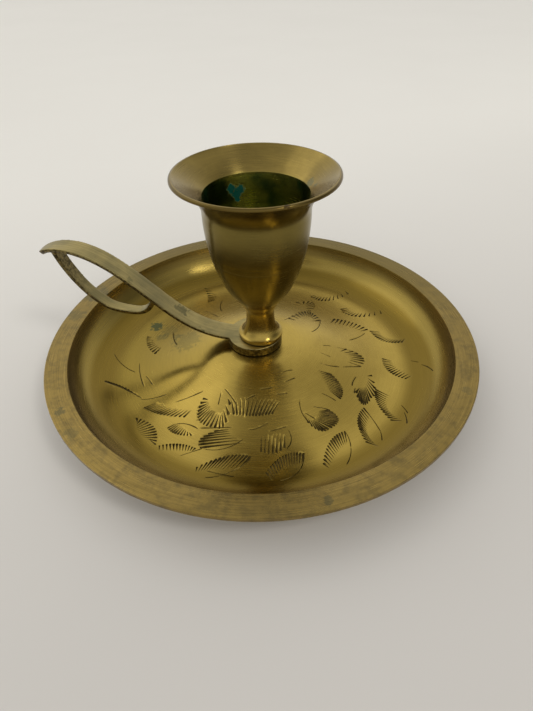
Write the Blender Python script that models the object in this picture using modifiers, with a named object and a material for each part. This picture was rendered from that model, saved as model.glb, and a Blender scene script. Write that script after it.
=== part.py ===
"""Brass chamber candlestick: a saucer-shaped drip tray, a cast finger handle and a
turned candle cup, clamped together by one screw and a washer from below.

Metres, +Z up. The origin is on the tray's axis in the plane it stands on.
The handle runs along -X, and the whole object is symmetric about the XZ plane.
"""

import math

import bmesh
import bpy
from mathutils import Vector
from mathutils.geometry import interpolate_bezier

# ---------------------------------------------------------------- driving dimensions

GAP = 0.0003                 # clearance between pieces that touch on the real object

# Drip tray, spun from sheet
TRAY_RADIUS = 0.0570
RIM_WIDTH = 0.0057           # flat brim
SHEET = 0.0012               # brass thickness
TRAY_DEPTH = 0.0094          # brim's top down to the lowest ring of the floor
WALL_RUN = 0.0106            # how far the coved wall reaches inwards
LAND_WIDTH = 0.0030          # flat ring that the tray stands on
CENTRE_DROP = 0.0029         # brim's top down to the seat at the centre
SEAT_MARGIN = 0.0012         # flat seat left round the handle's eye

# Finger handle, one casting: eye, strap and loop
EYE_RADIUS = 0.0073
EYE_OFFSET = 0.0016          # eye's centre lies this far towards the strap
EYE_THICKNESS = 0.0025
STRAP_WIDTH = 0.0061
STRAP_THICKNESS = 0.0013
TIP_WIDTH = 0.0012
TAPER_RUN = 0.0149           # length over which the strap narrows to its tip
STRAP_ROOT = 0.0060          # where the strap leaves the eye, out from the axis
RAMP_RUN = 0.0240            # eye to the middle of the ramp
RAMP_RISE = 0.0130
RAMP_ANGLE = math.radians(43.0)
CREST_RUN = 0.0205           # ramp to the crest
CREST_RISE = 0.0117
TIP_RUN = 0.0062             # crest to the tip
TIP_DROP = 0.0019
LOOP_THICKNESS = 0.0013
LOOP_TOP_WIDTH = 0.0042
LOOP_END_WIDTH = 0.0025
LOOP_DROP = 0.0052           # loop's lowest outer point below its end on the strap
LOOP_BOTTOM_RUN = 0.0050     # that point's distance outside the loop's end
LOOP_ELBOW_RUN = 0.0088      # lowest point out to the elbow
LOOP_ELBOW_RISE = 0.0026

# Candle cup, turned from a casting
CUP_HEIGHT = 0.0444
CUP_WALL = 0.0008
LIP_RADIUS = 0.0190
LIP_EDGE = 0.0009            # height of the lip's outer edge
FLARE_HEIGHT = 0.0082        # outside of the flare, below the lip's top
FLARE_DEPTH = 0.0048         # inside of the flare, below the lip's top
MOUTH_RADIUS = 0.0122        # socket where the flare starts
BODY_RADIUS = 0.0126         # bowl just under the flare
RING_RADIUS = 0.0052         # scribed ring where the bowl meets the neck
RING_HEIGHT = 0.0112
NECK_RADIUS = 0.0037         # narrowest place, between ring and foot
NECK_HEIGHT = 0.0066
FOOT_RADIUS = 0.0059
FOOT_EDGE = 0.0008
SOCKET_FLOOR_RADIUS = 0.0075

# Clamp screw and washer
SCREW_RADIUS = 0.0020
SCREW_REACH = 0.0070         # how far the screw enters the cup
HOLE_SPARE = 0.0010          # hole left above the screw's end
HEAD_RADIUS = 0.0036
HEAD_HEIGHT = 0.0022
SLOT_WIDTH = 0.0010
SLOT_DEPTH = 0.0011
WASHER_RADIUS = 0.0050
WASHER_THICKNESS = 0.0008

# Facets
TRAY_STEPS = 72
CUP_STEPS = 48
SMALL_STEPS = 32

# ---------------------------------------------------------------- levels that follow

BRIM_TOP = TRAY_DEPTH + SHEET
SEAT_TOP = BRIM_TOP - CENTRE_DROP
EYE_BOTTOM = SEAT_TOP + GAP
EYE_TOP = EYE_BOTTOM + EYE_THICKNESS
CUP_BOTTOM = EYE_TOP + GAP
WASHER_TOP = SEAT_TOP - SHEET - GAP
HEAD_TOP = WASHER_TOP - WASHER_THICKNESS - GAP
SCREW_HOLE = SCREW_RADIUS + GAP


# ---------------------------------------------------------------- scene helpers

def clear_scene():
    for obj in list(bpy.data.objects):
        bpy.data.objects.remove(obj, do_unlink=True)


def new_collection(name):
    collection = bpy.data.collections.new(name)
    bpy.context.scene.collection.children.link(collection)
    return collection


def brass(name, colour, roughness):
    material = bpy.data.materials.new(name)
    material.use_nodes = True
    shader = material.node_tree.nodes["Principled BSDF"]
    shader.inputs["Base Color"].default_value = (*colour, 1.0)
    shader.inputs["Metallic"].default_value = 1.0
    shader.inputs["Roughness"].default_value = roughness
    return material


def add_object(name, mesh, collection, material=None):
    obj = bpy.data.objects.new(name, mesh)
    collection.objects.link(obj)
    if material is not None:
        mesh.materials.append(material)
    return obj


def as_cutter(obj):
    obj.hide_render = True
    obj.display_type = "WIRE"
    return obj


def shade_round(mesh):
    mesh.shade_smooth()
    mesh.set_sharp_from_angle(angle=math.radians(35.0))


# ---------------------------------------------------------------- shape helpers

def bezier(start, start_handle, end_handle, end, count):
    """Points of one Bezier stretch in a plane, both ends included."""
    corners = [Vector((u, v, 0.0)) for u, v in (start, start_handle, end_handle, end)]
    return [(p.x, p.y) for p in interpolate_bezier(*corners, count)]


def turned(name, outline, steps, collection, material=None):
    """Turn an outline of (radius, height) points round the Z axis."""
    mesh = bpy.data.meshes.new(name)
    points = [(radius, 0.0, height) for radius, height in outline]
    edges = [(i, i + 1) for i in range(len(points) - 1)]
    mesh.from_pydata(points, edges, [])
    obj = add_object(name, mesh, collection, material)
    screw = obj.modifiers.new("turn", "SCREW")
    screw.axis = "Z"
    screw.steps = steps
    screw.render_steps = steps
    screw.use_merge_vertices = True
    screw.merge_threshold = 0.00001
    screw.use_smooth_shade = True
    return obj


def disc(name, radius, bottom, height, steps, collection, material=None):
    mesh = bpy.data.meshes.new(name)
    bm = bmesh.new()
    bmesh.ops.create_cone(bm, cap_ends=True, segments=steps, radius1=radius,
                          radius2=radius, depth=height)
    bmesh.ops.translate(bm, verts=bm.verts, vec=(0.0, 0.0, bottom + height / 2.0))
    bm.to_mesh(mesh)
    bm.free()
    shade_round(mesh)
    return add_object(name, mesh, collection, material)


def strip(name, spine, widths, thickness, offset, collection, material=None):
    """A bar of changing width that follows a spine of (x, z) points."""
    last = len(spine) - 1
    mesh = bpy.data.meshes.new(name)
    bm = bmesh.new()
    bmesh.ops.create_grid(bm, x_segments=last, y_segments=2, size=1.0)
    for vert in bm.verts:
        station = round((vert.co.x + 1.0) / 2.0 * last)
        x, z = spine[station]
        vert.co = (x, vert.co.y * widths[station] / 2.0, z)
    bm.to_mesh(mesh)
    bm.free()
    obj = add_object(name, mesh, collection, material)
    solid = obj.modifiers.new("thickness", "SOLIDIFY")
    solid.thickness = thickness
    solid.offset = offset
    solid.use_even_offset = True
    return obj


def boolean(obj, operation, other):
    modifier = obj.modifiers.new(operation.lower(), "BOOLEAN")
    modifier.operation = operation
    modifier.solver = "EXACT"
    modifier.object = other


# ---------------------------------------------------------------- drip tray

def tray_outline():
    """Upper face of the tray from its centre hole out to the edge of the brim."""
    seat = EYE_RADIUS + EYE_OFFSET + SEAT_MARGIN
    brim_inner = TRAY_RADIUS - RIM_WIDTH
    land_outer = brim_inner - WALL_RUN
    land_inner = land_outer - LAND_WIDTH
    rise = SEAT_TOP - SHEET
    run = land_inner - seat
    cone = bezier((seat, SEAT_TOP), (seat + 0.30 * run, SEAT_TOP - 0.14 * rise),
                  (land_inner - 0.34 * run, SHEET), (land_inner, SHEET), 8)
    cove_radius = (WALL_RUN ** 2 + TRAY_DEPTH ** 2) / (2.0 * TRAY_DEPTH)
    cove_angle = math.asin(WALL_RUN / cove_radius)
    if WALL_RUN < TRAY_DEPTH:
        cove_angle = math.pi - cove_angle
    cove = []
    for i in range(8):
        angle = cove_angle * i / 7.0
        cove.append((land_outer + cove_radius * math.sin(angle),
                     SHEET + cove_radius * (1.0 - math.cos(angle))))
    return [(SCREW_HOLE, SEAT_TOP)] + cone + cove + [(TRAY_RADIUS, BRIM_TOP)]


def make_drip_tray(parts):
    tray = turned("drip_tray", tray_outline(), TRAY_STEPS, parts,
                  brass("tray_brass", (0.50, 0.37, 0.13), 0.32))
    sheet = tray.modifiers.new("sheet", "SOLIDIFY")
    sheet.thickness = SHEET
    sheet.offset = -1.0
    sheet.use_even_offset = True
    return tray


# ---------------------------------------------------------------- finger handle

def strap_spine():
    """Upper face of the strap as (distance from the axis, height), eye to tip."""
    root = (STRAP_ROOT, EYE_TOP)
    ramp = (root[0] + RAMP_RUN, root[1] + RAMP_RISE)
    crest = (ramp[0] + CREST_RUN, ramp[1] + CREST_RISE)
    tip = (crest[0] + TIP_RUN, crest[1] - TIP_DROP)
    along = (math.cos(RAMP_ANGLE), math.sin(RAMP_ANGLE))
    before = 0.31 * RAMP_RUN
    after = 0.32 * CREST_RUN
    spine = bezier(root, (root[0] + 0.50 * RAMP_RUN, root[1]),
                   (ramp[0] - before * along[0], ramp[1] - before * along[1]), ramp, 12)
    spine += bezier(ramp, (ramp[0] + after * along[0], ramp[1] + after * along[1]),
                    (crest[0] - 0.42 * CREST_RUN, crest[1]), crest, 11)[1:]
    spine += bezier(crest, (crest[0] + 0.42 * TIP_RUN, crest[1]),
                    (tip[0] - 0.23 * TIP_RUN, tip[1] + 0.65 * TIP_DROP), tip, 8)[1:]
    return spine


def strap_width(distance, reach):
    """Full width along the strap, rounding off to a narrow nose at its tip."""
    past = max(0.0, distance - (reach - TAPER_RUN)) / TAPER_RUN
    return TIP_WIDTH + (STRAP_WIDTH - TIP_WIDTH) * math.sqrt(max(0.0, 1.0 - past ** 2))


def height_on(spine, distance):
    """Height of the strap's upper face at one distance from the axis."""
    for (s0, z0), (s1, z1) in zip(spine, spine[1:]):
        if s0 <= distance <= s1:
            return z0 + (z1 - z0) * (distance - s0) / (s1 - s0)
    raise ValueError("distance is off the strap")


def loop_spine(spine):
    """Outer face of the finger loop, from under the crest back to the ramp."""
    crest = STRAP_ROOT + RAMP_RUN + CREST_RUN
    start_s = crest + 0.20 * TIP_RUN
    start = (start_s, height_on(spine, start_s) - 0.5 * STRAP_THICKNESS)
    end_s = STRAP_ROOT + RAMP_RUN - 0.0010
    end = (end_s, height_on(spine, end_s) - 0.7 * STRAP_THICKNESS)
    bottom = (end[0] + LOOP_BOTTOM_RUN, end[1] - LOOP_DROP)
    elbow = (bottom[0] + LOOP_ELBOW_RUN, bottom[1] + LOOP_ELBOW_RISE)
    steep = start[1] - elbow[1]
    path = bezier(start, (start[0] - 0.07 * steep, start[1] - 0.34 * steep),
                  (elbow[0] + 0.28 * steep, elbow[1] + 0.21 * steep), elbow, 8)
    path += bezier(elbow, (elbow[0] - 0.0016, elbow[1] - 0.0017),
                   (bottom[0] + 0.45 * LOOP_ELBOW_RUN, bottom[1]), bottom, 7)[1:]
    path += bezier(bottom, (bottom[0] - 0.55 * LOOP_BOTTOM_RUN, bottom[1]),
                   (end[0] + 0.12 * LOOP_BOTTOM_RUN, end[1] - 0.60 * LOOP_DROP), end, 7)[1:]
    return path


def make_handle(parts, cutters):
    spine = strap_spine()
    reach = spine[-1][0]
    tip_first = [(-s, z) for s, z in reversed(spine)]
    widths = [strap_width(-x, reach) for x, z in tip_first]
    handle = strip("handle", tip_first, widths, STRAP_THICKNESS, -1.0, parts,
                   brass("handle_brass", (0.33, 0.27, 0.13), 0.45))

    path = loop_spine(spine)
    count = len(path) - 1
    loop_widths = [LOOP_TOP_WIDTH + (LOOP_END_WIDTH - LOOP_TOP_WIDTH) * i / count
                   for i in range(count + 1)]
    loop = strip("loop_form", [(-s, z) for s, z in path], loop_widths,
                 LOOP_THICKNESS, 1.0, cutters)
    eye = disc("eye_form", EYE_RADIUS, EYE_BOTTOM, EYE_THICKNESS, SMALL_STEPS, cutters)
    eye.location.x = -EYE_OFFSET
    hole = disc("eye_hole_cutter", SCREW_HOLE, EYE_BOTTOM - 5.0 * GAP,
                EYE_THICKNESS + 10.0 * GAP, SMALL_STEPS, cutters)
    for form, operation in ((loop, "UNION"), (eye, "UNION"), (hole, "DIFFERENCE")):
        boolean(handle, operation, as_cutter(form))
    return handle


# ---------------------------------------------------------------- candle cup

def cup_outline():
    """Cup from the middle of its socket floor, up, over the lip and down to its foot."""
    shoulder = CUP_HEIGHT - FLARE_HEIGHT
    throat = CUP_HEIGHT - FLARE_DEPTH
    bowl_height = shoulder - RING_HEIGHT
    bowl = bezier((BODY_RADIUS, shoulder),
                  (BODY_RADIUS + 0.0003, RING_HEIGHT + 0.464 * bowl_height),
                  (RING_RADIUS + 0.0026, RING_HEIGHT + 0.088 * bowl_height),
                  (RING_RADIUS, RING_HEIGHT), 15)
    inside = [(radius - CUP_WALL, height) for radius, height in bowl
              if radius - CUP_WALL > SOCKET_FLOOR_RADIUS + 0.0003]
    (r0, z0), (r1, z1) = [pair for pair in zip(bowl, bowl[1:])
                          if pair[0][0] > SOCKET_FLOOR_RADIUS + CUP_WALL >= pair[1][0]][0]
    share = (r0 - SOCKET_FLOOR_RADIUS - CUP_WALL) / (r0 - r1)
    floor = z0 + (z1 - z0) * share
    outline = [(0.0, floor), (SOCKET_FLOOR_RADIUS, floor)]
    outline += reversed(inside)
    outline += [(MOUTH_RADIUS, throat)]
    flare_span = LIP_RADIUS - BODY_RADIUS
    outline += bezier((MOUTH_RADIUS, throat),
                      (BODY_RADIUS + 0.25 * flare_span, throat + 0.42 * FLARE_DEPTH),
                      (LIP_RADIUS - 0.30 * flare_span, CUP_HEIGHT - 0.22 * FLARE_DEPTH),
                      (LIP_RADIUS - 0.5 * LIP_EDGE, CUP_HEIGHT), 5)[1:]
    outline += bezier((LIP_RADIUS, CUP_HEIGHT - LIP_EDGE),
                      (LIP_RADIUS - 0.48 * flare_span, CUP_HEIGHT - 0.26 * FLARE_HEIGHT),
                      (BODY_RADIUS + 0.03 * flare_span, CUP_HEIGHT - 0.58 * FLARE_HEIGHT),
                      (BODY_RADIUS, shoulder), 7)
    outline += bowl[1:]
    neck_run = RING_HEIGHT - NECK_HEIGHT
    outline += bezier((RING_RADIUS, RING_HEIGHT),
                      (0.45 * RING_RADIUS + 0.55 * NECK_RADIUS, RING_HEIGHT - 0.5 * neck_run),
                      (NECK_RADIUS, NECK_HEIGHT + 0.5 * neck_run),
                      (NECK_RADIUS, NECK_HEIGHT), 5)[1:]
    outline += bezier((NECK_RADIUS, NECK_HEIGHT),
                      (NECK_RADIUS, 0.30 * NECK_HEIGHT),
                      (FOOT_RADIUS - 0.0007, FOOT_EDGE + 0.0001),
                      (FOOT_RADIUS, FOOT_EDGE), 7)[1:]
    hole_top = SCREW_REACH + HOLE_SPARE
    outline += [(FOOT_RADIUS, 0.0), (SCREW_HOLE, 0.0), (SCREW_HOLE, hole_top), (0.0, hole_top)]
    return outline


def make_candle_cup(parts):
    cup = turned("candle_cup", cup_outline(), CUP_STEPS, parts,
                 brass("cup_brass", (0.38, 0.29, 0.12), 0.30))
    cup.location.z = CUP_BOTTOM
    return cup


# ---------------------------------------------------------------- clamp screw and washer

def make_clamp_screw(parts, cutters):
    """Slotted screw, head down in the hollow under the tray."""
    head_bottom = HEAD_TOP - HEAD_HEIGHT
    end = CUP_BOTTOM + SCREW_REACH
    chamfer = 0.35 * SCREW_RADIUS
    dome = bezier((HEAD_RADIUS, HEAD_TOP - 0.45 * HEAD_HEIGHT),
                  (HEAD_RADIUS, head_bottom + 0.25 * HEAD_HEIGHT),
                  (0.80 * HEAD_RADIUS, head_bottom), (0.50 * HEAD_RADIUS, head_bottom), 5)
    outline = [(0.0, end), (SCREW_RADIUS - chamfer, end), (SCREW_RADIUS, end - chamfer),
               (SCREW_RADIUS, HEAD_TOP), (HEAD_RADIUS, HEAD_TOP)]
    outline += dome + [(0.0, head_bottom)]
    screw = turned("clamp_screw", outline, SMALL_STEPS, parts,
                   brass("screw_brass", (0.42, 0.33, 0.15), 0.40))
    mesh = bpy.data.meshes.new("slot_cutter")
    bm = bmesh.new()
    bmesh.ops.create_cube(bm, size=1.0)
    bmesh.ops.scale(bm, verts=bm.verts, vec=(3.0 * HEAD_RADIUS, SLOT_WIDTH, 2.0 * SLOT_DEPTH))
    bm.to_mesh(mesh)
    bm.free()
    slot = as_cutter(add_object("slot_cutter", mesh, cutters))
    slot.location.z = head_bottom
    boolean(screw, "DIFFERENCE", slot)
    return screw


def make_washer(parts):
    bottom = WASHER_TOP - WASHER_THICKNESS
    outline = [(SCREW_HOLE, bottom), (SCREW_HOLE, WASHER_TOP), (WASHER_RADIUS, WASHER_TOP),
               (WASHER_RADIUS, bottom), (SCREW_HOLE, bottom)]
    return turned("washer", outline, SMALL_STEPS, parts,
                  brass("washer_brass", (0.42, 0.33, 0.15), 0.45))


# ---------------------------------------------------------------- build

def main():
    clear_scene()
    parts = new_collection("brass_candlestick")
    cutters = new_collection("cutters")
    make_drip_tray(parts)
    make_handle(parts, cutters)
    make_candle_cup(parts)
    make_clamp_screw(parts, cutters)
    make_washer(parts)


main()
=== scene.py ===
# %% [markdown]
# # A brass chamber candlestick
#
# This is the kind of candlestick that was carried up to bed: a saucer to catch the wax, a cup
# for the candle and a looped handle for one finger. One screw from below clamps all three
# together. The measured parts are loaded first. They fix every size and place, and the rest of
# this file makes the finer surfaces that the eye wants: turned edges, engraving and worn brass.

# %% Load the measured parts
import math

import bmesh
import bpy
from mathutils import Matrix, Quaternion, Vector
from mathutils.geometry import interpolate_bezier


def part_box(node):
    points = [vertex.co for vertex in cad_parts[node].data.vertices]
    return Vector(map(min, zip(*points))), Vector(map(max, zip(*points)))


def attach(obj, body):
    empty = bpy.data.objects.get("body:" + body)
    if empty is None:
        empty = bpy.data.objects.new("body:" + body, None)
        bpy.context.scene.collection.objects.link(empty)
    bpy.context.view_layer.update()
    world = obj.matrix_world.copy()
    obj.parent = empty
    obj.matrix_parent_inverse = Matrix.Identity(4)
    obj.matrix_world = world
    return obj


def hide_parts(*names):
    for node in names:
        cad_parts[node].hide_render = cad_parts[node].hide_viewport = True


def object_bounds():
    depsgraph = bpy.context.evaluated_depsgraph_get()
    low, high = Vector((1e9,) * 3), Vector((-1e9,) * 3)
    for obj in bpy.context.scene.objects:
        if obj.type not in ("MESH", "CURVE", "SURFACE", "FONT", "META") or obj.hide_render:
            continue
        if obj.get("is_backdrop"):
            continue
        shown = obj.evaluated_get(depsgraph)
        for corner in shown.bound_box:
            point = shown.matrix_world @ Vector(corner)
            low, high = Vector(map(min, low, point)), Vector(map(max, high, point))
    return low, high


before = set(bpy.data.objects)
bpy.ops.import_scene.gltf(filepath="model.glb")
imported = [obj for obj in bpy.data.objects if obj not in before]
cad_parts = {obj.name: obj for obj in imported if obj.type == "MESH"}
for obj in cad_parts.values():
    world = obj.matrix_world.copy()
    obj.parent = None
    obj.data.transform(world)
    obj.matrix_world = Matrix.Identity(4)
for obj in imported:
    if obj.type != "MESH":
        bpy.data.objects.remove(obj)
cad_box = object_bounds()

MM = 0.001
tray_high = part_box("drip_tray")[1]
handle_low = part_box("handle")[0]
cup_low, cup_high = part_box("candle_cup")
screw_low, screw_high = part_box("clamp_screw")
washer_low, washer_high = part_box("washer")
print("tray radius %.1f mm, cup top %.1f mm" % (tray_high.x / MM, cup_high.z / MM))

# %% [markdown]
# ## The camera
#
# The eye is very close, less than a hand's length from the saucer, and looks down at it. So near,
# a wide lens takes in the whole tray, and the cup leans outwards a little at its top. The camera
# is placed by what it looks at, from how far, and at which angles, because those values are easy
# to think about.

# %% Place the camera
LOOK_AT = Vector((2.69, -9.41, 10.6)) * MM
EYE_DISTANCE = 131.5 * MM
EYE_TURN = math.radians(8.0)
EYE_HEIGHT = math.radians(41.0)
EYE_TILT = math.radians(-1.54)
LENS = 25.57

looking = Vector((-math.sin(EYE_TURN) * math.cos(EYE_HEIGHT),
                  math.cos(EYE_TURN) * math.cos(EYE_HEIGHT),
                  -math.sin(EYE_HEIGHT)))
camera = bpy.data.objects.new("camera", bpy.data.cameras.new("camera"))
bpy.context.scene.collection.objects.link(camera)
camera.location = LOOK_AT - EYE_DISTANCE * looking
camera.rotation_mode = "QUATERNION"
camera.rotation_quaternion = (looking.to_track_quat("-Z", "Y")
                              @ Quaternion((0.0, 0.0, 1.0), EYE_TILT))
camera.data.lens = LENS
camera.data.clip_start = 0.005
bpy.context.scene.camera = camera
print("camera at", [round(c / MM) for c in camera.location], "mm")

# %% [markdown]
# ## Floor and light
#
# Polished brass shows the room more than it shows itself. So the world here is a pale room with three dim
# places in it: the ceiling, a dark corner on the right and whoever is looking, low on the left. They give
# the metal something to mirror, and because each fades out smoothly, no hard edge shows in the tray. One
# broad soft light high on the left stands for a window, and a small lamp on the right adds short gleams. The
# floor is plain cloth with painted shade: its colour darkens towards the front and the right, so it is paler
# towards the back on the left. A few helpers come first, because every shader below is built from the same
# nodes.

# %% Node helpers
def node(tree, kind, inputs=(), **settings):
    """Add one shader node, set its options, then fill or link its sockets."""
    made = tree.nodes.new("ShaderNode" + kind)
    for option, value in settings.items():
        setattr(made, option, value)
    for socket, value in dict(inputs).items():
        if isinstance(value, bpy.types.NodeSocket):
            tree.links.new(value, made.inputs[socket])
        else:
            made.inputs[socket].default_value = value
    return made


def maths(tree, operation, first, second=0.0, third=0.0):
    """One sum: ADD, MULTIPLY and so on."""
    return node(tree, "Math", {0: first, 1: second, 2: third}, operation=operation).outputs[0]


def ramp(tree, value, low, high, to_low=0.0, to_high=1.0):
    """Follow a value smoothly from one level to another."""
    inputs = {"Value": value, "From Min": low, "From Max": high,
              "To Min": to_low, "To Max": to_high}
    return node(tree, "MapRange", inputs, interpolation_type="SMOOTHSTEP").outputs["Result"]


def blend(tree, share, first, second):
    """Mix two colours."""
    mixer = node(tree, "Mix", data_type="RGBA")
    for socket, value in zip((mixer.inputs[0], mixer.inputs[6], mixer.inputs[7]),
                             (share, first, second)):
        if isinstance(value, bpy.types.NodeSocket):
            tree.links.new(value, socket)
        else:
            socket.default_value = value if socket is mixer.inputs[0] else (*value, 1.0)
    return mixer.outputs[2]


def noise(tree, vector, scale, detail=3.0, roughness=0.55, w=None, distortion=0.0):
    """Cloudy noise, in four dimensions when w is given."""
    inputs = {"Vector": vector, "Scale": scale, "Detail": detail,
              "Roughness": roughness, "Distortion": distortion}
    if w is not None:
        inputs["W"] = w
    return node(tree, "TexNoise", inputs,
                noise_dimensions="3D" if w is None else "4D").outputs["Fac"]


print("node helpers ready")

# %% Make the floor
FLOOR_RADIUS = 4.0
PALE_CLOTH = ((0.88, 0.86, 0.81), (0.92, 0.90, 0.85))
# the second pair is the same cloth in painted shade, blended in towards the front and the right
CLOTH_IN_PAINTED_SHADE = ((0.61, 0.585, 0.555), (0.65, 0.625, 0.595))
CLOTH_CLOUDS = 9.0
TOWARDS_PAINTED_SHADE = (0.45, -0.89, 0.0)
PAINTED_SHADE_FROM = -0.20
PAINTED_SHADE_TO = 0.13


def as_object(name, bm):
    """Put a finished bmesh into the scene as an object."""
    mesh = bpy.data.meshes.new(name)
    bm.to_mesh(mesh)
    bm.free()
    obj = bpy.data.objects.new(name, mesh)
    bpy.context.scene.collection.objects.link(obj)
    return obj


def make_floor():
    bm = bmesh.new()
    bmesh.ops.create_circle(bm, cap_ends=True, segments=96, radius=FLOOR_RADIUS)
    floor = as_object("floor", bm)
    material = bpy.data.materials.new("pale_cloth_with_painted_shade")
    material.use_nodes = True
    tree = material.node_tree
    shader = tree.nodes["Principled BSDF"]
    place = node(tree, "TexCoord").outputs["Object"]
    cloud = noise(tree, place, CLOTH_CLOUDS)
    pale = blend(tree, cloud, *PALE_CLOTH)
    painted_shade_cloth = blend(tree, cloud, *CLOTH_IN_PAINTED_SHADE)
    # painted shade: the cloth's colour darkens towards the front and the right, standing in for light that
    # falls off
    across = node(tree, "VectorMath", {0: place, 1: TOWARDS_PAINTED_SHADE}, operation="DOT_PRODUCT")
    share = ramp(tree, across.outputs["Value"], PAINTED_SHADE_FROM, PAINTED_SHADE_TO)
    tree.links.new(blend(tree, share, pale, painted_shade_cloth), shader.inputs["Base Color"])
    shader.inputs["Roughness"].default_value = 0.9
    floor.data.materials.append(material)
    floor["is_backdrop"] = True
    return floor


floor = make_floor()
print("floor", FLOOR_RADIUS * 2, "m across")

# %% A pale room with dim places
ROOM_BRIGHTNESS = 0.96
ROOM_COLOUR = (1.0, 0.985, 0.95)
DIM_PLACES = [
    # towards, how much light is missing there, how narrow the place is
    ((0.0, 0.0, 1.0), 0.52, 8.0),       # the ceiling
    ((0.86, 0.16, 0.45), 0.84, 4.5),    # a dark corner of the room on the right
    ((-0.66, -0.68, 0.30), 0.42, 12.0),  # whoever is looking, low on the left
]


def make_world():
    world = bpy.data.worlds.new("soft_room")
    world.use_nodes = True
    tree = world.node_tree
    view = node(tree, "TexCoord").outputs["Generated"]
    brightness = ROOM_BRIGHTNESS
    for towards, missing, narrow in DIM_PLACES:
        facing = node(tree, "VectorMath", {0: view, 1: Vector(towards).normalized()},
                      operation="DOT_PRODUCT").outputs["Value"]
        dimness = maths(tree, "POWER", maths(tree, "MAXIMUM", facing), narrow)
        left_over = maths(tree, "MULTIPLY_ADD", dimness, -missing, 1.0)
        brightness = maths(tree, "MULTIPLY", left_over, brightness)
    background = tree.nodes["Background"]
    background.inputs["Color"].default_value = (*ROOM_COLOUR, 1.0)
    tree.links.new(brightness, background.inputs["Strength"])
    bpy.context.scene.world = world


make_world()
bpy.context.scene.view_settings.view_transform = "Standard"
print("a pale room with", len(DIM_PLACES), "dim places")

# %% Two soft lights
LAMP_COLOUR = (1.0, 0.98, 0.94)


def soft_light(name, place, width, watts):
    """A round light at a place, facing the candlestick."""
    lamp = bpy.data.lights.new(name, "AREA")
    lamp.shape = "DISK"
    lamp.size = width
    lamp.energy = watts
    lamp.color = LAMP_COLOUR
    obj = bpy.data.objects.new(name, lamp)
    bpy.context.scene.collection.objects.link(obj)
    obj.location = place
    obj.rotation_mode = "QUATERNION"
    obj.rotation_quaternion = (-Vector(place)).to_track_quat("-Z", "Y")
    print(name, "is", round(obj.location.length, 2), "m away")


soft_light("window", (-0.9, 0.3, 1.0), 0.9, 1.0)
soft_light("small_lamp", (0.36, -0.25, 0.56), 0.16, 0.75)

# %% [markdown]
# ## Worn brass
#
# Brass that has been turned on a lathe carries thousands of fine rings, and each ring mirrors
# light across itself but not along itself. That is what draws the soft spokes on the bottom of
# a pan. The shader does the same with anisotropy that follows a tangent running round the
# axis. Its rings come from noise stretched round the axis: the noise is read at the radius
# and at the height, both squeezed hard, and at the compass bearing, hardly squeezed at all. Old
# brass also darkens in patches, so a larger, cloudy noise mixes a lighter and a browner colour,
# and stains are ragged spots laid at chosen points.

# %% A brass material
UNEVEN_GLOSS = 0.16
LINED_GLOSS = 0.14
STRETCHED_SHINE = 0.75
QUARTER_TURN = 0.25


def new_material(name):
    """An empty metal material, its nodes and its shader."""
    material = bpy.data.materials.new(name)
    material.use_nodes = True
    tree = material.node_tree
    shader = tree.nodes["Principled BSDF"]
    shader.inputs["Metallic"].default_value = 1.0
    return material, tree, shader


def round_the_axis(tree):
    """Object coordinates, radius, height and bearing of a point on a turned piece."""
    place = node(tree, "TexCoord").outputs["Object"]
    split = node(tree, "SeparateXYZ", {0: place}).outputs
    flat = node(tree, "CombineXYZ", {0: split["X"], 1: split["Y"]}).outputs[0]
    radius = node(tree, "VectorMath", {0: flat}, operation="LENGTH").outputs["Value"]
    bearing = node(tree, "VectorMath", {0: flat}, operation="NORMALIZE").outputs[0]
    return place, radius, split["Z"], bearing


def lathe_lines(tree, radius, height, bearing, pitch, sweep):
    """Noise in rings: pitch is their spacing, sweep how often they change on the way round."""
    across = node(tree, "SeparateXYZ", {0: bearing}).outputs
    rings = node(tree, "CombineXYZ", {0: maths(tree, "MULTIPLY", radius, 1.0 / pitch),
                                      1: maths(tree, "MULTIPLY", across["X"], sweep),
                                      2: maths(tree, "MULTIPLY", across["Y"], sweep)})
    return noise(tree, rings.outputs[0], 1.0, 2.0, 0.6,
                 w=maths(tree, "MULTIPLY", height, 1.0 / pitch))


def finish_brass(tree, shader, colour, lines, cloud, gloss, bump, turned=True):
    """Join colour, uneven gloss and fine relief to the shader."""
    tree.links.new(colour, shader.inputs["Base Color"])
    gloss_wave = maths(tree, "MULTIPLY_ADD", cloud, UNEVEN_GLOSS, gloss - UNEVEN_GLOSS / 2.0)
    centred = maths(tree, "ADD", gloss_wave, -LINED_GLOSS / 2.0)
    roughness = maths(tree, "MULTIPLY_ADD", lines, LINED_GLOSS, centred)
    tree.links.new(roughness, shader.inputs["Roughness"])
    relief = node(tree, "Bump", {"Height": lines, "Strength": 1.0, "Distance": bump})
    tree.links.new(relief.outputs[0], shader.inputs["Normal"])
    if turned:
        tangent = node(tree, "Tangent", direction_type="RADIAL", axis="Z")
        tree.links.new(tangent.outputs[0], shader.inputs["Tangent"])
        shader.inputs["Anisotropic"].default_value = STRETCHED_SHINE
        shader.inputs["Anisotropic Rotation"].default_value = QUARTER_TURN


def shaded(tree, colour, shade):
    """Make a colour lighter or darker by a factor."""
    return node(tree, "VectorMath", {0: colour, 1: shade}, operation="MULTIPLY").outputs[0]


print("brass helpers ready")

# %% Stains
def mark(tree, place, centre, size, raggedness=0.4, detail=900.0):
    """A ragged spot round a point: 1 inside, fading to 0; the size is its radius."""
    offset = node(tree, "VectorMath", {0: place, 1: Vector(centre) * MM}, operation="DISTANCE")
    wobble = ramp(tree, noise(tree, place, detail, 3.0), 0.3, 0.7, -raggedness, raggedness)
    reach = maths(tree, "MULTIPLY_ADD", wobble, size * MM, offset.outputs["Value"])
    return ramp(tree, reach, 0.75 * size * MM, 1.15 * size * MM, 1.0, 0.0)


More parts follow.
